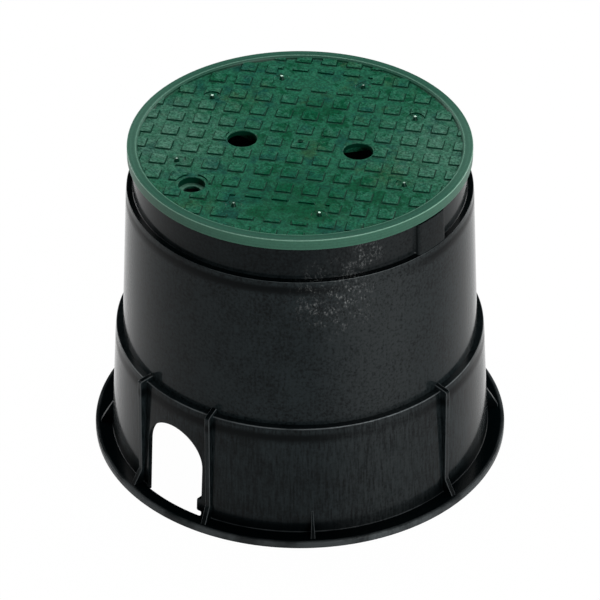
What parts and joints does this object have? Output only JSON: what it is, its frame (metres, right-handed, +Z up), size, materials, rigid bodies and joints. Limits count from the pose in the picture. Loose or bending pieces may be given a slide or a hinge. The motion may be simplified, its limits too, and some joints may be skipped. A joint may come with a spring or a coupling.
{
  "type": "irrigation valve box",
  "caption": "Round two-tier underground valve box with ground flange, arched pipe openings and a drop-in treaded lid with finger holes.",
  "frame": {"origin": "on the ground under the middle of the box, at the centre of the flange's bottom", "axes": "+Z up along the box's axis, +Y and -Y through the two pipe openings, +X and -X through the two bolt lugs"},
  "size_m": [0.3222, 0.3222, 0.2604],
  "materials": {
    "black_plastic": "satin",
    "green_plastic": "satin"
  },
  "bodies": {
    "box": {"box_body": "black_plastic"},
    "cover": {"lid": "green_plastic"}
  },
  "joints": [
    {"name": "lid_lift", "type": "slide", "parent": "box", "child": "cover", "axis": [0, 0, 1], "range_m": [0, 0.15]}
  ]
}
